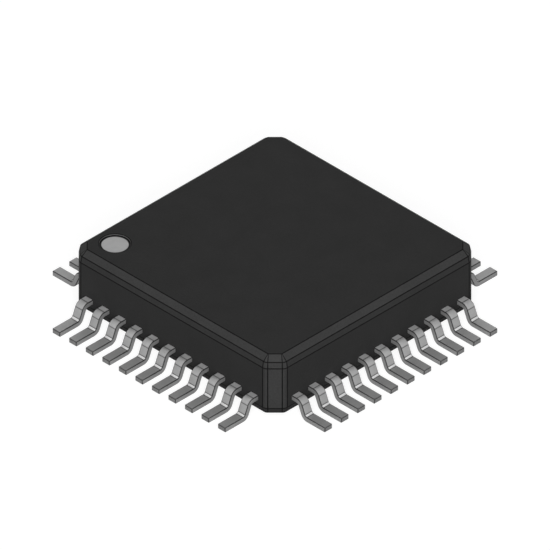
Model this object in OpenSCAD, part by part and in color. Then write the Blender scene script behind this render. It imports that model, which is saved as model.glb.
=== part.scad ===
// Quad flat pack chip: a moulded body with a row of gull-wing leads on each of its four sides.
// Millimetres. The origin is under the middle of the body, on the plane that the feet stand on.
// +X, +Y: across the body. +Z: up, out of the top face. Pin one is beside the mark, at -X -Y.

/* [Package] */
// Leads on each side
leads_per_side = 11; // [6:1:12]
// Distance from one lead to the next
lead_pitch = 0.8; // [0.6:0.05:1]
// From the middle of the last lead to the edge of the body
corner_margin = 1; // [0.8:0.05:1.5]
// Thickness of the body
body_height = 2.32; // [1.6:0.01:3]
// Gap between the board and the underside of the body
standoff = 0.15; // [0.05:0.05:0.3]

/* [Body edges] */
// Inward run of the upper bevel, next to the top face
upper_bevel_in = 0.24; // [0.1:0.01:0.4]
// Height of the upper bevel
upper_bevel_high = 0.195; // [0.1:0.005:0.4]
// Inward run of the steeper bevel below it
lower_bevel_in = 0.05; // [0.02:0.01:0.15]
// Height of the steeper bevel
lower_bevel_high = 0.235; // [0.1:0.005:0.4]
// Inward run of the bevel round the underside
under_bevel_in = 0.065; // [0.02:0.005:0.15]
// Height of the bevel round the underside
under_bevel_high = 0.23; // [0.1:0.01:0.3]
// Leg of the chamfer on each upright corner
corner_chamfer = 0.5; // [0.3:0.05:0.6]
// Radius that softens both edges of each corner chamfer
corner_round = 0.25; // [0.1:0.05:0.4]

/* [Pin one mark] */
// Diameter of the dimple at the top face
dimple_diameter = 1.1; // [0.9:0.02:1.3]
// How much narrower the dimple's floor is than its rim
dimple_draft = 0.07; // [0.02:0.01:0.3]
// Depth of the dimple
dimple_depth = 0.08; // [0.05:0.01:0.25]
// From the body's -X side to the middle of the dimple
dimple_from_x = 1.04; // [1:0.01:2.5]
// From the body's -Y side to the middle of the dimple
dimple_from_y = 1.22; // [1:0.01:2.5]
// Thickness of the ink on the dimple's floor
ink_thickness = 0.02; // [0.01:0.01:0.04]

/* [Leads] */
// Width of a lead outside the body
lead_width = 0.37; // [0.25:0.01:0.45]
// Thickness of the lead frame
frame_thickness = 0.2; // [0.12:0.01:0.24]
// Reach of a lead past the edge of the body
lead_reach = 1.6; // [1.5:0.05:2.2]
// Length of the flat foot
foot_length = 0.88; // [0.6:0.01:0.95]
// Inside radius of both bends
bend_radius = 0.1; // [0.05:0.01:0.14]
// Slope of the riser between the bends, in degrees
riser_angle = 67; // [55:1:78]
// From the underside of the body to the underside of the leads
exit_height = 0.41; // [0.34:0.01:0.55]

/* [Lead frame inside the body] */
// Depth inside the body at which the leads begin to fan in
fan_start = 0.3; // [0.15:0.05:0.5]
// Length of each lead inside the body
inner_length = 2; // [1.2:0.05:2.4]
// Gap between the tips of neighbouring leads
tip_gap = 0.2; // [0.1:0.01:0.25]
// From the middle of the last tip to the next side's row of tips
tip_margin = 0.75; // [0.6:0.05:1.2]
// Gap between the tips and the die pad
pad_gap = 0.4; // [0.25:0.05:0.8]
// How far the die pad is set down below the leads
pad_downset = 0.21; // [0.12:0.01:0.26]
// Width of the tie bars that held the die pad
tie_bar_width = 0.25; // [0.15:0.01:0.3]
// Flat length of a tie bar at the pad's corner, before it slopes up
tie_bar_flat = 0.2; // [0.1:0.05:0.5]
// Length over which a tie bar slopes up
tie_bar_slope = 0.3; // [0.2:0.05:0.6]
// Plastic over the outer end of each tie bar
tie_bar_cover = 0.15; // [0.05:0.05:0.4]

/* [Die] */
// Border of the pad that shows round the die
die_margin = 0.5; // [0.3:0.05:1]
// Thickness of the die
die_thickness = 0.3; // [0.2:0.01:0.45]
// Thickness of the adhesive under the die
attach_thickness = 0.03; // [0.02:0.005:0.06]
// How far the adhesive is squeezed out past the die
attach_spread = 0.1; // [0.05:0.01:0.2]

/* [Bond wires] */
// Diameter of a bond wire
wire_diameter = 0.03; // [0.018:0.002:0.05]
// Diameter of the ball that bonds the wire to the die
ball_diameter = 0.08; // [0.06:0.01:0.12]
// Height of the ball
ball_height = 0.03; // [0.02:0.005:0.05]
// Height above the die to which the loop is pulled; its crown is three quarters of that
loop_height = 0.3; // [0.2:0.01:0.45]
// From the die's edge to the row of balls
ball_inset = 0.15; // [0.1:0.01:0.3]
// From the die's corner, along its edge, to the last ball
ball_margin = 0.3; // [0.25:0.01:0.6]
// From a lead's tip to the wire's end on it
stitch_inset = 0.15; // [0.08:0.01:0.4]

/* [Ejector marks] */
// Diameter of the round marks that the mould's ejector pins leave on the underside
ejector_diameter = 1.2; // [0.8:0.1:2]
// Depth of the ejector marks
ejector_depth = 0.05; // [0.02:0.01:0.08]
// From the body's edges to the middle of an ejector mark
ejector_margin = 2; // [1.5:0.1:3]

/* [Hidden] */
$fn = 48;
// Extra length that carries a cut clear through a face
over = 0.1;
// Radius left on a corner that comes out sharp
sharp_round = 0.01;
// Steps in each rounded edge of a corner
round_steps = 4;
// Sides of a bond wire, and steps along its loop
wire_sides = 6;
wire_steps = 5;
// Share of a wire's run at which its loop starts down
crown_share = 0.45;

lead_count = 4 * leads_per_side;
middle_row = (leads_per_side - 1) / 2;
body_half = middle_row * lead_pitch + corner_margin;
body_top = standoff + body_height;

// Heights, from the board up
lead_z = standoff + exit_height;
pad_z = lead_z - pad_downset;
attach_z = pad_z + frame_thickness;
die_z = attach_z + attach_thickness;
die_top = die_z + die_thickness;
lead_top = lead_z + frame_thickness;

// Distances from the middle of the body, outwards
tip_end = body_half - inner_length;
fan_end = body_half - fan_start;
foot_end = body_half + lead_reach;
foot_from = foot_end - foot_length;
pad_half = tip_end - pad_gap;
die_half = pad_half - die_margin;
attach_half = die_half + attach_spread;
ball_from = die_half - ball_inset;
stitch_from = tip_end + stitch_inset;

// Two bends of one radius take up part of the drop, and the straight riser takes the rest
bend_outside = bend_radius + frame_thickness;
bend_sum = bend_radius + bend_outside;
riser_length = (lead_z - bend_sum * (1 - cos(riser_angle))) / sin(riser_angle);
drop_run = bend_sum * sin(riser_angle) + riser_length * cos(riser_angle);
shoulder_end = foot_from - drop_run;

// The tips share out the width that is left between the rows on the two next sides
tip_pitch = (tip_end - tip_margin) / middle_row;
tip_width = tip_pitch - tip_gap;
ball_pitch = (die_half - ball_margin) / middle_row;

function lead_name(n) = str(n < 10 ? "lead_0" : "lead_", n);

// ---------- Helpers ----------

// Closed skin over a stack of rings that all have as many points
module skin(rings) {
    count = len(rings[0]);
    last = len(rings) - 1;
    polyhedron(
        points = [for (ring = rings) each ring],
        faces = concat(
            [[for (i = [0 : count - 1]) i]],
            [for (k = [0 : last - 1], i = [0 : count - 1])
                let (j = (i + 1) % count)
                [k * count + i, (k + 1) * count + i, (k + 1) * count + j, k * count + j]],
            [[for (i = [count - 1 : -1 : 0]) last * count + i]]
        )
    );
}

// Turns what is drawn for the +X side on to one of the four sides, in the order of the pins
module on_side(side) {
    rotate(90 * (side - 1)) children();
}

// Stands a drawing of distance and height upright, as a strip of the given width
module strip(width) {
    rotate([90, 0, 0]) linear_extrude(height = width, center = true) children();
}

function row_offset(row, pitch) = (row - middle_row) * pitch;

// ---------- Body ----------

function turned(p, a) = [p.x * cos(a) - p.y * sin(a), p.x * sin(a) + p.y * cos(a)];

// Plan of the body with every side moved in by inset: a square with rounded, chamfered corners
function outline(inset) =
    let (
        half = body_half - inset,
        leg = corner_chamfer - inset * (2 - sqrt(2)),
        r = max(corner_round - inset, sharp_round)
    )
    [for (quarter = [0 : 3], edge = [0, 1], step = [0 : round_steps])
        let (
            point = edge == 0 ? [half, half - leg] : [half - leg, half],
            facing = 22.5 + 45 * edge,
            centre = point - r / cos(22.5) * [cos(facing), sin(facing)],
            a = facing + 45 * (step / round_steps - 0.5)
        )
        turned(centre + r * [cos(a), sin(a)], 90 * quarter)];

// The moulding's outside, before anything is set into it
module moulding() {
    levels = [
        [standoff, under_bevel_in],
        [standoff + under_bevel_high, 0],
        [body_top - upper_bevel_high - lower_bevel_high, 0],
        [body_top - upper_bevel_high, lower_bevel_in],
        [body_top, lower_bevel_in + upper_bevel_in]
    ];
    skin([for (level = levels) [for (p = outline(level[1])) [p.x, p.y, level[0]]]]);
}

// What fills the dimple from its floor up to a height, between walls that lean outwards
module dimple_fill(height) {
    floor_diameter = dimple_diameter - dimple_draft;
    widening = dimple_draft * height / dimple_depth;
    translate([dimple_from_x - body_half, dimple_from_y - body_half, body_top - dimple_depth])
        cylinder(d1 = floor_diameter, d2 = floor_diameter + widening, h = height);
}

module ejector_marks() {
    place = body_half - ejector_margin;
    for (x = [-place, place], y = [-place, place])
        translate([x, y, standoff - over])
            cylinder(d = ejector_diameter, h = over + ejector_depth);
}

module body() {
    color("#2f2f2f")
        difference() {
            moulding();
            dimple_fill(dimple_depth + over);
            ejector_marks();
            for (n = [1 : lead_count])
                lead(n);
            die_pad();
            die_attach();
            die();
            for (side = [0 : 3])
                bond_wires(side);
        }
}

module pin_one_mark() {
    color("#a5a5a5") dimple_fill(ink_thickness);
}

// ---------- Leads ----------

// Ring sector of the strip's thickness, from the top round to the riser
module bend() {
    far = 2 * bend_outside;
    intersection() {
        difference() {
            circle(r = bend_outside);
            circle(r = bend_radius);
        }
        polygon([
            [0, 0],
            far * [sin(riser_angle), cos(riser_angle)],
            [far, far],
            [0, far]
        ]);
    }
}

// Side view of a lead: flat inside the body, shoulder, bend, riser, bend and foot
module lead_profile() {
    translate([tip_end, lead_z])
        square([shoulder_end - tip_end, frame_thickness]);
    translate([shoulder_end, lead_z - bend_radius]) {
        bend();
        rotate(90 - riser_angle)
            translate([bend_radius, -riser_length])
                square([frame_thickness, riser_length]);
    }
    translate([foot_from, bend_outside])
        rotate(180) bend();
    translate([foot_from, 0])
        square([foot_length, frame_thickness]);
}

// Plan of a lead: straight outside, and fanned in to its tip inside the body
module lead_plan(row) {
    y = row_offset(row, lead_pitch);
    tip_y = row_offset(row, tip_pitch);
    polygon([
        [foot_end, y - lead_width / 2],
        [foot_end, y + lead_width / 2],
        [fan_end, y + lead_width / 2],
        [tip_end, tip_y + tip_width / 2],
        [tip_end, tip_y - tip_width / 2],
        [fan_end, y - lead_width / 2]
    ]);
}

// A lead is what its plan and its side view have in common
module lead(n) {
    side = floor((n - 1) / leads_per_side);
    row = (n - 1) % leads_per_side;
    color("#a9a9a9")
        on_side(side)
            intersection() {
                strip(2 * body_half) lead_profile();
                linear_extrude(height = lead_top + over) lead_plan(row);
            }
}

// ---------- Die pad, adhesive and die ----------

module square_plate(half, z, thickness) {
    translate([-half, -half, z])
        cube([2 * half, 2 * half, thickness]);
}

// Side view of a tie bar along the diagonal, from inside the pad out to the body's corner
module tie_bar_profile() {
    pad_corner = pad_half * sqrt(2);
    root = pad_corner - tie_bar_width;
    slope_from = pad_corner + tie_bar_flat;
    slope_to = slope_from + tie_bar_slope;
    end = (2 * body_half - corner_chamfer) / sqrt(2) - tie_bar_cover;
    polygon([
        [root, pad_z],
        [slope_from, pad_z],
        [slope_to, lead_z],
        [end, lead_z],
        [end, lead_top],
        [slope_to, lead_top],
        [slope_from, attach_z],
        [root, attach_z]
    ]);
}

module die_pad() {
    color("#b87333") {
        square_plate(pad_half, pad_z, frame_thickness);
        for (side = [0 : 3])
            rotate(45 + 90 * side)
                strip(tie_bar_width) tie_bar_profile();
    }
}

module die_attach() {
    color("#c8c8c0") square_plate(attach_half, attach_z, attach_thickness);
}

module die() {
    color("#3a3f4a") square_plate(die_half, die_z, die_thickness);
}

// ---------- Bond wires ----------

function bezier(a, b, c, d, u) =
    pow(1 - u, 3) * a + 3 * u * pow(1 - u, 2) * b + 3 * u * u * (1 - u) * c + pow(u, 3) * d;

function bezier_way(a, b, c, d, u) =
    let (way = pow(1 - u, 2) * (b - a) + 2 * u * (1 - u) * (c - b) + u * u * (d - c))
    way / norm(way);

// Ring about a point of the loop; across and along are the vectors of its two half axes
function wire_ring(centre, across, along) =
    [for (i = [0 : wire_sides - 1])
        let (a = 360 * i / wire_sides)
        centre + cos(a) * across + sin(a) * along];

// One wire that runs out along +X: a ball on the die, a loop, and a slanting end flat on the lead
module bond_wire(run, rise) {
    r = wire_diameter / 2;
    ball = ball_diameter / 2;
    a = [0, 0, ball_height];
    b = [0, 0, loop_height];
    c = [crown_share * run, 0, loop_height];
    d = [run, 0, rise];
    skin(concat(
        [wire_ring([0, 0, 0], [0, ball, 0], [-ball, 0, 0])],
        [wire_ring(a, [0, ball, 0], [-ball, 0, 0])],
        [for (step = [0 : wire_steps])
            let (
                u = step / wire_steps,
                way = bezier_way(a, b, c, d, u),
                along = step == wire_steps ? [-1 / way.z, 0, 0] : [-way.z, 0, way.x]
            )
            wire_ring(bezier(a, b, c, d, u), [0, r, 0], r * along)]
    ));
}

// The wires of one side, each from its ball on the die to the top of its lead's tip
module bond_wires(side) {
    color("#d4af37")
        on_side(side)
            for (row = [0 : leads_per_side - 1]) {
                from = [ball_from, row_offset(row, ball_pitch)];
                fan = (stitch_from - tip_end) / (fan_end - tip_end);
                pitch = tip_pitch + fan * (lead_pitch - tip_pitch);
                to = [stitch_from, row_offset(row, pitch)];
                way = to - from;
                translate([from.x, from.y, die_top])
                    rotate(atan2(way.y, way.x))
                        bond_wire(norm(way), lead_top - die_top);
            }
}

module wires_front() bond_wires(0);
module wires_right() bond_wires(1);
module wires_back() bond_wires(2);
module wires_left() bond_wires(3);

// ---------- Nodes ----------

body();
pin_one_mark();
for (n = [1 : lead_count])
    lead(n);
die_pad();
die_attach();
die();
wires_front();
wires_right();
wires_back();
wires_left();
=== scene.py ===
"""Looks of the quad flat pack chip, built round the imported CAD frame. Metres, with sizes written in mm."""

import math

import bpy
from mathutils import Matrix, Vector


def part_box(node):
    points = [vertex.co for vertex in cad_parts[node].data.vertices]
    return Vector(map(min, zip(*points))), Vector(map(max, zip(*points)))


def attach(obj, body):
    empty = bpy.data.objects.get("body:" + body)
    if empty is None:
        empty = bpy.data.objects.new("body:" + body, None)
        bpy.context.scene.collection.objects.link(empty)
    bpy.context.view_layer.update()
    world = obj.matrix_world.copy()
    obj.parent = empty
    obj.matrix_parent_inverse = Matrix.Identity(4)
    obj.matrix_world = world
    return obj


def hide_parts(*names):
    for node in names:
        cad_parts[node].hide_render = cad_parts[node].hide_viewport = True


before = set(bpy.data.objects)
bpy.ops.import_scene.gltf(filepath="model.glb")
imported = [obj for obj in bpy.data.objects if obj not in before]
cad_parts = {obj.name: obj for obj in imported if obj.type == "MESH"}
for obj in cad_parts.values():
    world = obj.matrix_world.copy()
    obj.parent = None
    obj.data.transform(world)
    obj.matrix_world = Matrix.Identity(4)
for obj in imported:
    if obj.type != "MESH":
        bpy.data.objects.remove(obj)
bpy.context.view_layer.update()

MM = 0.001
WHITE = (1.0, 1.0, 1.0, 1.0)

# ---------- View and floor, in mm and degrees ----------

VIEW_AZIMUTH = 45.0
VIEW_ELEVATION = 35.264
VIEW_WIDTH = 18.816
VIEW_HEIGHT = 1.226
VIEW_DISTANCE = 100.0
VIEW_CLIP = (1.0, 1000.0)
FLOOR_HALF = 200.0
# The floor lies a hair below the feet, so that the two never share a plane.
FLOOR_GAP = 0.005

# ---------- Sizes shared with the CAD, in mm ----------

LEADS_PER_SIDE = 11
LEAD_PITCH = 0.8
LEAD_WIDTH = 0.37
SHEET = 0.2
BEND_RADIUS = 0.1
RISER_ANGLE = math.radians(67)
FOOT_LENGTH = 0.88
FAN_START = 0.3
TIP_WIDTH = 0.25
TIP_MARGIN = 0.75

CORNER_CHAMFER = 0.5
CORNER_ROUND = 0.25
# Inward run and height of each bevel.
UNDER_BEVEL = (0.065, 0.23)
LOWER_BEVEL = (0.05, 0.235)
UPPER_BEVEL = (0.24, 0.195)

DIMPLE_DIAMETER = 1.1
DIMPLE_DRAFT = 0.07
EJECTOR_DIAMETER = 1.2
EJECTOR_DEPTH = 0.05
EJECTOR_MARGIN = 2.0

# ---------- Fine shape that only the render needs, in mm ----------

# Roundings of the stamped edges, of the body's creases and of the rims of its hollows.
LEAD_EDGE = 0.03
BODY_EDGE = 0.022
RIM_EDGE = 0.024
# How much of the edge rounding is left on the corners of a toe.
TOE_SHARE = 0.4
# Radius of a corner that would come out sharp.
SHARP_ROUND = 0.01
# How far inside its crease each flat end of the body begins.
FLAT_MARGIN = BODY_EDGE * 8
# A hollow's lip: out from its rim and in from the face, as shares of the rim's rounding.
LIP = ((0.0, 0.5), (0.3, 0.15), (1.0, 0.01))
# How far the foot of a hollow's wall rises, as a share of the rim's rounding.
WALL_FOOT = 0.4
# How far a cutter reaches past the face that it cuts.
CUT_CLEARANCE = 0.1
# The ink's edge, as inset in mm and share of its thickness, and its top, as shares of radius and thickness.
INK_EDGE = ((0.005, 0.0), (0.002, 0.5))
INK_TOP = ((0.985, 0.85), (0.96, 0.97), (0.9, 1.0), (0.5, 1.0))
# Width of the dark ring at the dot's edge, where the ink is too thin to cover, and how softly it starts.
INK_FADE = 0.057
INK_BLUR = 0.1
# Half the width of the painted dark line across a lead where a bend starts or ends.
DARK_LINE_HALF = 0.03

# Steps in a corner's arc, a bend, the rounding of a stamped edge and a whole turn.
ARC_STEPS = 8
BEND_STEPS = 10
EDGE_STEPS = 3
TURN_STEPS = 96

# Faces over this area, in mm2, and level ones keep their flat shading.
BROAD_FACE = 0.5
LEVEL_COSINE = 0.9999
# How strongly a large face holds the normals at its edges, of 100.
AREA_WEIGHT = 100

# ---------- Tones ----------

# How dark the painted shade along a crease, and the painted dark line along a lead's edge, already are where
# they begin.
CREASE_START = 0.75

# Painted light and shade on each part of a lead, against the plating's plain grey: paler on the shoulder,
# bends, riser and foot, darker at the toe's end, with painted dark lines where a bend starts or ends and
# along the edges.
TONE_SHOULDER = 1.9
TONE_UPPER_BEND = 1.43
TONE_RISER = 1.33
TONE_LOWER_BEND = 2.6
TONE_FOOT = 1.26
TONE_BEND_LINE = 0.25
TONE_SIDE = 1.0
TONE_EDGE = 0.06
TONE_END = 0.7

# Painted light and shade on each part of the body, against the epoxy's plain grey: a paler upper bevel, a
# darker under bevel, painted shade along the creases and a paler dimple wall.
SHADE_TOP = 0.0
SHADE_UPPER_BEVEL = 0.12
SHADE_LOWER_BEVEL = 0.0
SHADE_UNDER_BEVEL = -0.35
SHADE_CREASE = -0.95
SHADE_DIMPLE_WALL = 0.6

# Two greys between which each drifts: the epoxy square to the axes, the paler epoxy on leaning faces, which
# is painted light, the ink and the tin.
EPOXY_SQUARE = (0.027, 0.03)
EPOXY_LEANING_PAINTED_LIT = (0.0405, 0.045)
INK_GREYS = (0.45, 0.48)
TIN_GREYS = (0.23, 0.26)
# How pale the grain of an inner piece is where it is worn, and how far its roughness strays.
WORN_SHARE = 0.9
ROUGHNESS_SPREAD = 0.05


def box_mm(node):
    """A node's lowest and highest corners in mm."""
    low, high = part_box(node)
    return Vector(low) / MM, Vector(high) / MM


BODY_LOW, BODY_HIGH = box_mm("body")
MARK_LOW, MARK_HIGH = box_mm("pin_one_mark")
FIRST_LOW, FIRST_HIGH = box_mm("lead_01")
BODY_HALF = BODY_HIGH.x
BODY_TOP = BODY_HIGH.z


# ---------- Mesh helpers ----------

def new_object(name, vertices, faces):
    """A mesh object from points in mm."""
    mesh = bpy.data.meshes.new(name)
    mesh.from_pydata([tuple(c * MM for c in v) for v in vertices], [], faces)
    mesh.update()
    made = bpy.data.objects.new(name, mesh)
    bpy.context.scene.collection.objects.link(made)
    return made


def skin(rings):
    """Vertices and faces of a closed skin over rings that all have as many points."""
    count = len(rings[0])
    vertices = [point for ring in rings for point in ring]
    faces = [tuple(range(count - 1, -1, -1))]
    for k in range(len(rings) - 1):
        for i in range(count):
            j = (i + 1) % count
            faces.append((k * count + i, k * count + j, (k + 1) * count + j, (k + 1) * count + i))
    faces.append(tuple(range((len(rings) - 1) * count, len(rings) * count)))
    return vertices, faces


def apply_modifiers(made):
    """Bakes an object's modifiers into its mesh."""
    graph = bpy.context.evaluated_depsgraph_get()
    mesh = bpy.data.meshes.new_from_object(made.evaluated_get(graph))
    made.modifiers.clear()
    made.data = mesh


def smooth(made):
    """Smooth shading of the narrow faces, with the broad ones left flat."""
    for polygon in made.data.polygons:
        level = abs(polygon.normal.z) > LEVEL_COSINE
        polygon.use_smooth = polygon.area < BROAD_FACE * MM ** 2 and not level
    normals = made.modifiers.new("normals", "WEIGHTED_NORMAL")
    normals.weight = AREA_WEIGHT
    normals.keep_sharp = True
    apply_modifiers(made)


def arc(centre, radius, start, end, steps):
    """Points on an arc, both ends included."""
    return [
        (centre[0] + radius * math.cos(start + (end - start) * k / steps),
         centre[1] + radius * math.sin(start + (end - start) * k / steps))
        for k in range(steps + 1)
    ]


def soften(points, reach):
    """An open polyline of 2D points with each inner corner turned into a small arc of three points."""
    out = [points[0]]
    for before, here, after in zip(points, points[1:], points[2:]):
        a = (Vector(before) - Vector(here)).normalized()
        b = (Vector(after) - Vector(here)).normalized()
        half = a.angle(b) / 2
        centre = Vector(here) + (a + b).normalized() * (reach / math.cos(half))
        start = Vector(here) + a * reach - centre
        end = Vector(here) + b * reach - centre
        turn = start.angle_signed(end)
        for share in (0.0, 0.5, 1.0):
            spun = start.copy()
            spun.rotate(Matrix.Rotation(-turn * share, 2))
            out.append(tuple(centre + spun))
    out.append(points[-1])
    return out


# ---------- Body ----------

def outline(inset):
    """Plan of the body with every side moved in by inset.

    Each corner is a chamfer between two arcs, finer than the CAD's, and an arc has a crease at each end.
    """
    half = BODY_HALF - inset
    leg = CORNER_CHAMFER - inset * (2 - math.sqrt(2))
    r = max(CORNER_ROUND - inset, SHARP_ROUND)
    eighth = math.pi / 8
    crease = BODY_EDGE / CORNER_ROUND
    turns = [-eighth, crease - eighth]
    turns += [eighth * (2 * k / ARC_STEPS - 1) for k in range(1, ARC_STEPS)]
    turns += [eighth - crease, eighth]
    points = []
    for quarter in range(4):
        turn = Matrix.Rotation(quarter * math.pi / 2, 2)
        for edge in (0, 1):
            corner = Vector((half, half - leg) if edge == 0 else (half - leg, half))
            facing = eighth * (1 + 2 * edge)
            centre = corner - r / math.cos(eighth) * Vector((math.cos(facing), math.sin(facing)))
            ring = [centre + r * Vector((math.cos(facing + t), math.sin(facing + t))) for t in turns]
            before = Vector((math.sin(facing - eighth), -math.cos(facing - eighth))) * BODY_EDGE
            after = Vector((-math.sin(facing + eighth), math.cos(facing + eighth))) * BODY_EDGE
            for point in [ring[0] + before, *ring, ring[-1] + after]:
                points.append(tuple(turn @ point))
    return points


def outline_weights():
    """How much painted crease shade runs down the body at each point of the outline: 1 at the ends of an
    arc.
    """
    one_arc = [0.0, 1.0] + [0.0] * (ARC_STEPS + 1) + [1.0, 0.0]
    arcs = 2 * 4
    return one_arc * arcs


def body_levels():
    """The body's rings from the underside up.

    Gives each ring's inset and height, how much painted crease shade it carries, and the painted light or
    shade of the faces between.
    """
    low, top = BODY_LOW.z, BODY_TOP
    corners = [
        (UNDER_BEVEL[0] + FLAT_MARGIN, low),
        (UNDER_BEVEL[0], low),
        (0, low + UNDER_BEVEL[1]),
        (0, top - UPPER_BEVEL[1] - LOWER_BEVEL[1]),
        (LOWER_BEVEL[0], top - UPPER_BEVEL[1]),
        (LOWER_BEVEL[0] + UPPER_BEVEL[0], top),
        (LOWER_BEVEL[0] + UPPER_BEVEL[0] + FLAT_MARGIN, top),
    ]
    flats = [0.0, SHADE_UNDER_BEVEL, 0.0, SHADE_LOWER_BEVEL, SHADE_UPPER_BEVEL, SHADE_TOP]
    shades = [flats[0], flats[0]]
    for before, after in zip(flats, flats[1:]):
        shades += [before, after, after]
    shades.append(flats[-1])
    weights = [0.0] + [0.0, 1.0, 0.0] * (len(corners) - 2) + [0.0]
    return soften(corners, BODY_EDGE), weights, shades


def crease_share(weights, here, there):
    """How much painted crease shade a face has at one of its ends, when the other end may lie on a crease.
    """
    return max(weights[here], CREASE_START * weights[there])


def shade_rings(made, ring_weights, point_weights, shades):
    """Writes on each face corner of a skin its painted light or shade, with painted shade darkest along
    creases.
    """
    around = len(point_weights)
    last = len(ring_weights) - 1
    shade = made.data.attributes.new("shade", "FLOAT", "CORNER")
    flats = [shades[0]] + [flat for flat in shades[1:-1] for _ in range(around)] + [shades[-1]]
    for polygon, flat in zip(made.data.polygons, flats):
        places = [divmod(made.data.loops[loop].vertex_index, around) for loop in polygon.loop_indices]
        rings = sorted({ring for ring, point in places})
        points = sorted({point for ring, point in places})
        for loop, (ring, point) in zip(polygon.loop_indices, places):
            crease = 0.0
            if len(rings) == 2:
                crease = crease_share(ring_weights, ring, rings[0] + rings[1] - ring)
                # The flat ends have no creases of their own, so the corners' stop short of them.
                if 1 < ring < last - 1:
                    crease = max(crease, crease_share(point_weights, point, points[0] + points[1] - point))
            shade.data[loop].value = flat + (SHADE_CREASE - flat) * crease


def revolved(name, profile, at):
    """A closed turned solid from radius and height pairs, standing at a place in plan."""
    turns = [2 * math.pi * k / TURN_STEPS for k in range(TURN_STEPS)]
    rings = [
        [(at[0] + r * math.cos(turn), at[1] + r * math.sin(turn), z) for turn in turns]
        for r, z in profile
    ]
    return new_object(name, *skin(rings))


def hollow(name, at, floor_r, rim_r, floor, rim, outwards, flat_shade, wall_shade):
    """Cutter for a round moulded hollow; outwards is +1 for one in the top face and -1 underneath."""
    e = RIM_EDGE
    profile = [
        (floor_r - e, floor),
        (floor_r, floor + outwards * e * WALL_FOOT),
        ((floor_r + rim_r) / 2, (floor + rim) / 2),
    ]
    profile += [(rim_r + e * out, rim - outwards * e * deep) for out, deep in LIP]
    profile.append((rim_r + e, rim + outwards * CUT_CLEARANCE))
    # The wall's foot and the lip get painted crease shade, and the wall its painted light or shade.
    foot = lip = [SHADE_CREASE, SHADE_CREASE]
    shades = [flat_shade, *foot, wall_shade, *lip, flat_shade, flat_shade]
    if outwards < 0:
        profile.reverse()
        shades.reverse()
    made = revolved(name, profile, at)
    shade_rings(made, [0.0] * len(profile), [0.0] * TURN_STEPS, shades)
    return made


def cut(made, cutters):
    """Takes the cutters away from an object and deletes them."""
    for cutter in cutters:
        boolean = made.modifiers.new("cut", "BOOLEAN")
        boolean.operation = "DIFFERENCE"
        boolean.solver = "EXACT"
        boolean.object = cutter
    apply_modifiers(made)
    for cutter in cutters:
        bpy.data.objects.remove(cutter)


def make_body():
    """The moulded body with its dimple and its ejector marks."""
    levels, ring_weights, shades = body_levels()
    rings = [[(x, y, z) for x, y in outline(inset)] for inset, z in levels]
    made = new_object("moulded_body", *skin(rings))
    shade_rings(made, ring_weights, outline_weights(), shades)
    mark = (MARK_LOW + MARK_HIGH) / 2
    rim_r = DIMPLE_DIAMETER / 2
    floor_r = rim_r - DIMPLE_DRAFT / 2
    cutters = [
        hollow("dimple", mark.xy, floor_r, rim_r, MARK_LOW.z, BODY_TOP, 1, SHADE_TOP, SHADE_DIMPLE_WALL)
    ]
    place = BODY_HALF - EJECTOR_MARGIN
    ejector_r = EJECTOR_DIAMETER / 2
    ejector_floor = BODY_LOW.z + EJECTOR_DEPTH
    for k in range(4):
        at = (place if k % 2 else -place, place if k > 1 else -place)
        cutters.append(
            hollow(f"ejector_{k}", at, ejector_r, ejector_r, ejector_floor, BODY_LOW.z, -1, 0.0, 0.0)
        )
    cut(made, cutters)
    smooth(made)
    return made


def make_mark():
    """The ink disc: a thin puddle that thins out at its edge."""
    mark = (MARK_LOW + MARK_HIGH) / 2
    r = (MARK_HIGH.x - MARK_LOW.x) / 2
    thick = MARK_HIGH.z - MARK_LOW.z
    profile = [(r - inset, MARK_LOW.z + thick * high) for inset, high in INK_EDGE]
    profile += [(r * out, MARK_LOW.z + thick * high) for out, high in INK_TOP]
    made = revolved("ink_dot", profile, mark.xy)
    smooth(made)
    return made


# ---------- Leads ----------

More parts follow.
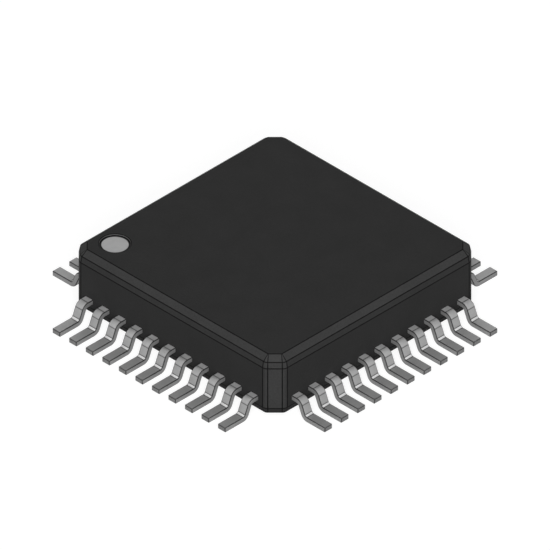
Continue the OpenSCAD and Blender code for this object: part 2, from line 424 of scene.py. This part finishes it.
def lead_stations():
    """The middle of the strip from its tip to its toe: distance out, height, slope and tone of painted light
    and shade.
    """
    lead_low = FIRST_HIGH.z - SHEET
    foot_end = -FIRST_LOW.y
    foot_from = foot_end - FOOT_LENGTH
    middle = BEND_RADIUS + SHEET / 2
    riser = (lead_low - 2 * middle * (1 - math.cos(RISER_ANGLE))) / math.sin(RISER_ANGLE)
    shoulder_end = foot_from - 2 * middle * math.sin(RISER_ANGLE) - riser * math.cos(RISER_ANGLE)
    tip_end = -FIRST_HIGH.y
    flat = FIRST_HIGH.z - SHEET / 2
    upper = (shoulder_end, lead_low - BEND_RADIUS)
    lower = (foot_from, SHEET + BEND_RADIUS)

    def on_upper(slope):
        return upper[0] + middle * math.sin(slope), upper[1] + middle * math.cos(slope), slope

    def on_lower(slope):
        return lower[0] - middle * math.sin(slope), lower[1] - middle * math.cos(slope), slope

    def along(place, step):
        """A place moved by step along the strip without turning."""
        out, height, slope = place
        return out + step * math.cos(slope), height - step * math.sin(slope), slope

    def with_dark_line(place, before, after):
        """A place where a painted dark line runs across the strip."""
        return [
            (*along(place, -DARK_LINE_HALF), before),
            (*place, TONE_BEND_LINE),
            (*along(place, DARK_LINE_HALF), after),
        ]

    stations = [(tip_end, flat, 0.0, 1.0), (BODY_HALF - FAN_START, flat, 0.0, 1.0)]
    stations.append((BODY_HALF, flat, 0.0, TONE_SHOULDER))
    stations += with_dark_line(on_upper(0.0), TONE_SHOULDER, TONE_UPPER_BEND)[:2]
    for k in range(1, BEND_STEPS):
        stations.append((*on_upper(RISER_ANGLE * k / BEND_STEPS), TONE_UPPER_BEND))
    stations += with_dark_line(on_upper(RISER_ANGLE), TONE_UPPER_BEND, TONE_RISER)[1:]
    stations += with_dark_line(on_lower(RISER_ANGLE), TONE_RISER, TONE_LOWER_BEND)[:2]
    # The painted dark lines at the lower bend reach one step into it.
    for k in range(1, BEND_STEPS):
        at_mark = k in (1, BEND_STEPS - 1)
        tone = TONE_BEND_LINE if at_mark else TONE_LOWER_BEND
        stations.append((*on_lower(RISER_ANGLE * (1 - k / BEND_STEPS)), tone))
    stations += with_dark_line(on_lower(0.0), TONE_LOWER_BEND, TONE_FOOT)[1:]
    stations.append((foot_end - LEAD_EDGE, SHEET / 2, 0.0, TONE_FOOT))
    stations.append((foot_end, SHEET / 2, 0.0, TONE_END))
    return stations, tip_end


def strip_section(width, thickness, edge):
    """A rectangle with rounded corners, as pairs across and through the strip, counter-clockwise."""
    points = []
    for quarter, (sx, sy) in enumerate(((1, 1), (-1, 1), (-1, -1), (1, -1))):
        centre = (sx * (width / 2 - edge), sy * (thickness / 2 - edge))
        points += arc(centre, edge, quarter * math.pi / 2, (quarter + 1) * math.pi / 2, EDGE_STEPS)
    return points


def towards_edge(tone):
    """A tone where the painted dark line of a rounded edge begins."""
    return tone + (TONE_EDGE - tone) * CREASE_START


def edge_tone(place, broad_tone):
    """The tone at a point of the section, on the rounding of an edge, where a painted dark line runs."""
    quarter, step = divmod(place, EDGE_STEPS + 1)
    if 0 < step < EDGE_STEPS:
        return TONE_EDGE
    # Quarters 0 and 2 of the section end at a broad face, and 1 and 3 start from one.
    meets_broad = (step == EDGE_STEPS) == (quarter % 2 == 0)
    return towards_edge(broad_tone if meets_broad else TONE_SIDE)


def lead_tones(made, stations, around):
    """Writes on each face corner the plating's tone of painted light and shade, with painted dark lines
    along the edges.
    """
    tone = made.data.attributes.new("tone", "FLOAT", "CORNER")
    last = len(stations) - 1
    for polygon in made.data.polygons:
        corners = [made.data.loops[i].vertex_index for i in polygon.loop_indices]
        is_end = len(corners) > 4
        if is_end:
            for i in polygon.loop_indices:
                tone.data[i].value = TONE_END
            continue
        places = sorted({v % around for v in corners})
        closes_ring = places[-1] - places[0] > around // 2
        quarter, step = divmod(places[-1] if closes_ring else places[0], EDGE_STEPS + 1)
        on_edge = step < EDGE_STEPS
        on_broad = quarter % 2 == 0
        at_toe = max(corners) // around == last
        for i, v in zip(polygon.loop_indices, corners):
            station, place = divmod(v, around)
            broad_tone = stations[station][3]
            if on_edge:
                value = edge_tone(place, broad_tone)
            else:
                value = broad_tone if on_broad else TONE_SIDE
            if at_toe:
                value = TONE_EDGE if station == last else towards_edge(value)
            tone.data[i].value = value


def make_lead(number, stations, tip_end):
    """One lead with the edges that stamping and plating leave, in the place of its CAD solid."""
    side, row = divmod(number - 1, LEADS_PER_SIDE)
    offset = row - (LEADS_PER_SIDE - 1) / 2
    tip_pitch = (tip_end - TIP_MARGIN) * 2 / (LEADS_PER_SIDE - 1)
    rings = []
    last = len(stations) - 1
    for k, (out, height, slope, _) in enumerate(stations):
        at_tip = k == 0
        across = offset * (tip_pitch if at_tip else LEAD_PITCH)
        width = TIP_WIDTH if at_tip else LEAD_WIDTH
        trim = LEAD_EDGE if k == last else 0.0
        edge = LEAD_EDGE * (TOE_SHARE if k == last else 1.0)
        ring = []
        for u, v in strip_section(width - 2 * trim, SHEET - 2 * trim, edge):
            ring.append((out + v * math.sin(slope), across + u, height + v * math.cos(slope)))
        rings.append(ring)
    made = new_object(f"formed_lead_{number:02d}", *skin(rings))
    lead_tones(made, stations, len(rings[0]))
    # It is laid out along +X, and the first side faces -Y.
    made.data.transform(Matrix.Rotation((side - 1) * math.pi / 2, 4, "Z"))
    smooth(made)
    return made


# ---------- Materials ----------

def material(name):
    """A new material with its node tree and its Principled shader."""
    made = bpy.data.materials.new(name)
    made.use_nodes = True
    tree = made.node_tree
    shader = tree.nodes["Principled BSDF"]
    return made, tree, shader


def place_in_mm(tree):
    """Object coordinates in mm, for textures."""
    where = tree.nodes.new("ShaderNodeTexCoord")
    scale = tree.nodes.new("ShaderNodeVectorMath")
    scale.operation = "SCALE"
    scale.inputs["Scale"].default_value = 1 / MM
    tree.links.new(where.outputs["Object"], scale.inputs[0])
    return scale.outputs["Vector"]


def noise(tree, vector, per_mm, detail=2.0, rough=0.5):
    """A noise texture from 0 to 1."""
    made = tree.nodes.new("ShaderNodeTexNoise")
    made.inputs["Scale"].default_value = per_mm
    made.inputs["Detail"].default_value = detail
    made.inputs["Roughness"].default_value = rough
    tree.links.new(vector, made.inputs["Vector"])
    return made.outputs["Fac"]


def ramp(tree, value, low, high, start=0.3, end=0.7):
    """Maps a number output to a range; start and end suit a noise texture, which keeps to its middle."""
    made = tree.nodes.new("ShaderNodeMapRange")
    made.inputs["From Min"].default_value = start
    made.inputs["From Max"].default_value = end
    made.inputs["To Min"].default_value = low
    made.inputs["To Max"].default_value = high
    tree.links.new(value, made.inputs["Value"])
    return made.outputs["Result"]


def blend_colours(tree, value, low, high):
    """Mixes two written colours by a number output."""
    made = tree.nodes.new("ShaderNodeMix")
    made.data_type = "RGBA"
    made.inputs["A"].default_value = (*low, 1.0)
    made.inputs["B"].default_value = (*high, 1.0)
    tree.links.new(value, made.inputs["Factor"])
    return made.outputs["Result"]


def blend_outputs(tree, value, low, high):
    """Mixes two colour outputs by a number output."""
    made = tree.nodes.new("ShaderNodeMix")
    made.data_type = "RGBA"
    tree.links.new(low, made.inputs["A"])
    tree.links.new(high, made.inputs["B"])
    tree.links.new(value, made.inputs["Factor"])
    return made.outputs["Result"]


def bump(tree, shader, heights):
    """Chains bumps, each a height texture with its depth in mm."""
    normal = None
    for height, depth in heights:
        made = tree.nodes.new("ShaderNodeBump")
        made.inputs["Strength"].default_value = 1.0
        made.inputs["Distance"].default_value = depth * MM
        tree.links.new(height, made.inputs["Height"])
        if normal is not None:
            tree.links.new(normal, made.inputs["Normal"])
        normal = made.outputs["Normal"]
    tree.links.new(normal, shader.inputs["Normal"])


def cloudy(tree, cloud, greys):
    """A colour that drifts between two greys with a noise."""
    low, high = greys
    share = ramp(tree, cloud, low=0.0, high=1.0)
    return blend_colours(tree, share, (low, low, low), (high, high, high))


def lean_light_mask(tree):
    """A mask for painted light: 0 on faces square to the axes, up to 1 on bevels and chamfers that lean by
    45 degrees.
    """
    where = tree.nodes.new("ShaderNodeTexCoord")
    size = tree.nodes.new("ShaderNodeVectorMath")
    size.operation = "ABSOLUTE"
    tree.links.new(where.outputs["Normal"], size.inputs[0])
    total = tree.nodes.new("ShaderNodeVectorMath")
    total.operation = "DOT_PRODUCT"
    tree.links.new(size.outputs["Vector"], total.inputs[0])
    total.inputs[1].default_value = (1.0, 1.0, 1.0)
    return ramp(tree, total.outputs["Value"], low=0.0, high=1.0, start=1.0, end=math.sqrt(2))


def scaled(tree, colour, scale):
    """A colour output times a number output."""
    made = tree.nodes.new("ShaderNodeVectorMath")
    made.operation = "SCALE"
    tree.links.new(colour, made.inputs[0])
    tree.links.new(scale, made.inputs["Scale"])
    return made.outputs["Vector"]


def written(tree, name):
    """A number that this script wrote on the mesh."""
    made = tree.nodes.new("ShaderNodeAttribute")
    made.attribute_name = name
    return made.outputs["Fac"]


def epoxy():
    """Black moulding compound with its filler's speckle and the fine texture of its mould, with painted
    light on its leaning faces and painted light and shade written on the mesh.
    """
    made, tree, shader = material("moulded_epoxy")
    place = place_in_mm(tree)
    cloud = noise(tree, place, per_mm=0.9, detail=3.0)
    grain = noise(tree, place, per_mm=14.0, detail=3.0, rough=0.6)
    fine = noise(tree, place, per_mm=38.0, detail=2.0, rough=0.6)
    square = cloudy(tree, cloud, EPOXY_SQUARE)
    painted_lit_grey = cloudy(tree, cloud, EPOXY_LEANING_PAINTED_LIT)
    # Leaning faces take the paler grey, which is painted light.
    plain = blend_outputs(tree, lean_light_mask(tree), square, painted_lit_grey)
    # The painted light and shade written on the mesh runs from -1, black, to 1, twice as pale.
    paler = ramp(tree, written(tree, "shade"), low=0.0, high=2.0, start=-1.0, end=1.0)
    toned = scaled(tree, plain, paler)
    speckled = scaled(tree, toned, ramp(tree, grain, low=0.9, high=1.1))
    tree.links.new(speckled, shader.inputs["Base Color"])
    tree.links.new(ramp(tree, grain, low=0.55, high=0.7), shader.inputs["Roughness"])
    shader.inputs["Specular IOR Level"].default_value = 0.04
    bump(tree, shader, [(grain, 0.004), (fine, 0.002)])
    return made


def ink():
    """Pale marking ink that thins out to the dark epoxy at the edge of its dot."""
    made, tree, shader = material("mark_ink")
    place = place_in_mm(tree)
    cloud = noise(tree, place, per_mm=5.0, detail=3.0)
    grain = noise(tree, place, per_mm=30.0, detail=2.0)
    away = tree.nodes.new("ShaderNodeVectorMath")
    away.operation = "DISTANCE"
    tree.links.new(place, away.inputs[0])
    away.inputs[1].default_value = (MARK_LOW + MARK_HIGH) / 2
    edge = (MARK_HIGH.x - MARK_LOW.x) / 2
    cover = ramp(
        tree, away.outputs["Value"], low=1.0, high=0.0,
        start=edge - INK_FADE * (1 + INK_BLUR), end=edge - INK_FADE * (1 - INK_BLUR))
    tree.links.new(scaled(tree, cloudy(tree, cloud, INK_GREYS), cover), shader.inputs["Base Color"])
    tree.links.new(ramp(tree, grain, low=0.6, high=0.75), shader.inputs["Roughness"])
    shader.inputs["Specular IOR Level"].default_value = 0.2
    bump(tree, shader, [(grain, 0.002)])
    return made


def tin():
    """Matte tin plating over a rolled strip, with painted light and shade by part of the lead and painted
    dark lines along its edges.
    """
    made, tree, shader = material("matte_tin")
    place = place_in_mm(tree)
    cloud = noise(tree, place, per_mm=1.6, detail=2.0)
    grain = noise(tree, place, per_mm=26.0, detail=3.0, rough=0.6)
    # The tone written on the mesh is painted light and shade.
    toned = scaled(tree, cloudy(tree, cloud, TIN_GREYS), written(tree, "tone"))
    speckled = scaled(tree, toned, ramp(tree, grain, low=0.94, high=1.06))
    tree.links.new(speckled, shader.inputs["Base Color"])
    shader.inputs["Metallic"].default_value = 0.3
    tree.links.new(ramp(tree, grain, low=0.42, high=0.52), shader.inputs["Roughness"])
    bump(tree, shader, [(grain, 0.0025)])
    return made


def plain_metal(name, colour, roughness, per_mm):
    """A metal or paste for the inner pieces, with its grain in colour, roughness and bump."""
    made, tree, shader = material(name)
    grain = noise(tree, place_in_mm(tree), per_mm, detail=3.0)
    worn = tuple(WORN_SHARE * part for part in colour)
    shown = blend_colours(tree, ramp(tree, grain, low=0.0, high=1.0), worn, colour)
    tree.links.new(shown, shader.inputs["Base Color"])
    shader.inputs["Metallic"].default_value = 1.0
    uneven = ramp(tree, grain, roughness - ROUGHNESS_SPREAD, roughness + ROUGHNESS_SPREAD)
    tree.links.new(uneven, shader.inputs["Roughness"])
    bump(tree, shader, [(grain, 0.001)])
    return made


# ---------- Stage, light and camera ----------

def seen_white(tree):
    """1 for a ray that shows the background: from the camera, off gloss or through glass."""
    path = tree.nodes.new("ShaderNodeLightPath")
    total = path.outputs["Is Camera Ray"]
    for name in ("Is Glossy Ray", "Is Transmission Ray"):
        add = tree.nodes.new("ShaderNodeMath")
        add.operation = "MAXIMUM"
        tree.links.new(total, add.inputs[0])
        tree.links.new(path.outputs[name], add.inputs[1])
        total = add.outputs["Value"]
    return total


def make_world(ambient):
    """White surroundings for what the camera and the gloss see, and a faint even light on the part."""
    world = bpy.data.worlds.new("studio")
    bpy.context.scene.world = world
    world.use_nodes = True
    tree = world.node_tree
    background = tree.nodes["Background"]
    background.inputs["Color"].default_value = WHITE
    strength = ramp(tree, seen_white(tree), low=ambient, high=1.0, start=0.0, end=1.0)
    tree.links.new(strength, background.inputs["Strength"])


def make_floor(glow, lit):
    """A white floor: part of its white is its own glow, and the rest is lit and takes the shadow."""
    size = FLOOR_HALF
    plan = ((-size, -size), (size, -size), (size, size), (-size, size))
    made = new_object("floor", [(x, y, -FLOOR_GAP) for x, y in plan], [(0, 1, 2, 3)])
    paint, tree, shader = material("floor")
    shader.inputs["Base Color"].default_value = (lit, lit, lit, 1.0)
    shader.inputs["Roughness"].default_value = 0.9
    shader.inputs["Specular IOR Level"].default_value = 0.0
    shader.inputs["Emission Color"].default_value = WHITE
    strength = ramp(tree, seen_white(tree), low=0.0, high=glow, start=0.0, end=1.0)
    tree.links.new(strength, shader.inputs["Emission Strength"])
    # The floor's own underside is clear, so that the part can be looked at from below.
    clear = tree.nodes.new("ShaderNodeBsdfTransparent")
    facing = tree.nodes.new("ShaderNodeNewGeometry")
    choice = tree.nodes.new("ShaderNodeMixShader")
    tree.links.new(facing.outputs["Backfacing"], choice.inputs["Fac"])
    tree.links.new(shader.outputs["BSDF"], choice.inputs[1])
    tree.links.new(clear.outputs["BSDF"], choice.inputs[2])
    tree.links.new(choice.outputs["Shader"], tree.nodes["Material Output"].inputs["Surface"])
    made.data.materials.append(paint)


def direction(azimuth, elevation):
    """Unit vector towards a compass point: azimuth 0 is -Y and 90 is +X, in degrees."""
    a, e = math.radians(azimuth), math.radians(elevation)
    return Vector((math.sin(a) * math.cos(e), -math.cos(a) * math.cos(e), math.sin(e)))


def make_sun(name, azimuth, elevation, level, softness, sheen=True):
    """A soft distant lamp, with its angles in degrees.

    At level 1 a surface that faces it renders its own colour. Without sheen no gloss shows it.
    """
    lamp = bpy.data.lights.new(name, "SUN")
    lamp.energy = level * math.pi
    lamp.angle = math.radians(softness)
    made = bpy.data.objects.new(name, lamp)
    made.rotation_mode = "QUATERNION"
    made.rotation_quaternion = direction(azimuth, elevation).to_track_quat("Z", "Y")
    made.visible_glossy = sheen
    bpy.context.scene.collection.objects.link(made)


def make_camera():
    """An orthographic camera at the photo's angle, aimed at the middle of the part."""
    view = direction(VIEW_AZIMUTH, VIEW_ELEVATION)
    data = bpy.data.cameras.new("camera")
    data.type = "ORTHO"
    data.ortho_scale = VIEW_WIDTH * MM
    data.clip_start, data.clip_end = (distance * MM for distance in VIEW_CLIP)
    made = bpy.data.objects.new("camera", data)
    made.location = (Vector((0, 0, VIEW_HEIGHT)) + view * VIEW_DISTANCE) * MM
    made.rotation_mode = "QUATERNION"
    made.rotation_quaternion = view.to_track_quat("Z", "Y")
    bpy.context.scene.collection.objects.link(made)
    bpy.context.scene.camera = made


make_camera()
make_world(ambient=0.07)
make_floor(glow=0.86, lit=0.25)
make_sun("key", azimuth=45, elevation=35.3, level=0.8, softness=30)
make_sun("front", azimuth=45, elevation=5, level=0.3, softness=40)
make_sun("left_strip", azimuth=-40, elevation=12, level=0.08, softness=50)
make_sun("right_strip", azimuth=130, elevation=12, level=0.08, softness=50)
make_sun("back", azimuth=225, elevation=8, level=0.5, softness=40, sheen=False)

bpy.context.scene.view_settings.view_transform = "Standard"

# ---------- Assembly ----------

EPOXY, INK, TIN = epoxy(), ink(), tin()
FINISHES = {
    "die_pad": plain_metal("pad_copper", (0.72, 0.40, 0.25), roughness=0.35, per_mm=20.0),
    "die_attach": plain_metal("silver_paste", (0.6, 0.6, 0.58), roughness=0.6, per_mm=30.0),
    "die": plain_metal("silicon", (0.08, 0.09, 0.12), roughness=0.15, per_mm=4.0),
}
GOLD = plain_metal("bond_gold", (0.83, 0.60, 0.22), roughness=0.25, per_mm=40.0)


def dress(made, paint, slot, *nodes):
    """Gives a piece its material and puts it in the place of its CAD nodes."""
    made.data.materials.clear()
    made.data.materials.append(paint)
    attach(made, "root")
    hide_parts(*nodes)


dress(make_body(), EPOXY, "epoxy", "body")
dress(make_mark(), INK, "mark_ink", "pin_one_mark")
STATIONS, TIP_END = lead_stations()
for n in range(1, 4 * LEADS_PER_SIDE + 1):
    dress(make_lead(n, STATIONS, TIP_END), TIN, "tinned_lead", f"lead_{n:02d}")
for node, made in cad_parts.items():
    paint = GOLD if node.startswith("wires") else FINISHES.get(node)
    if paint:
        for slot in made.material_slots:
            slot.material = paint
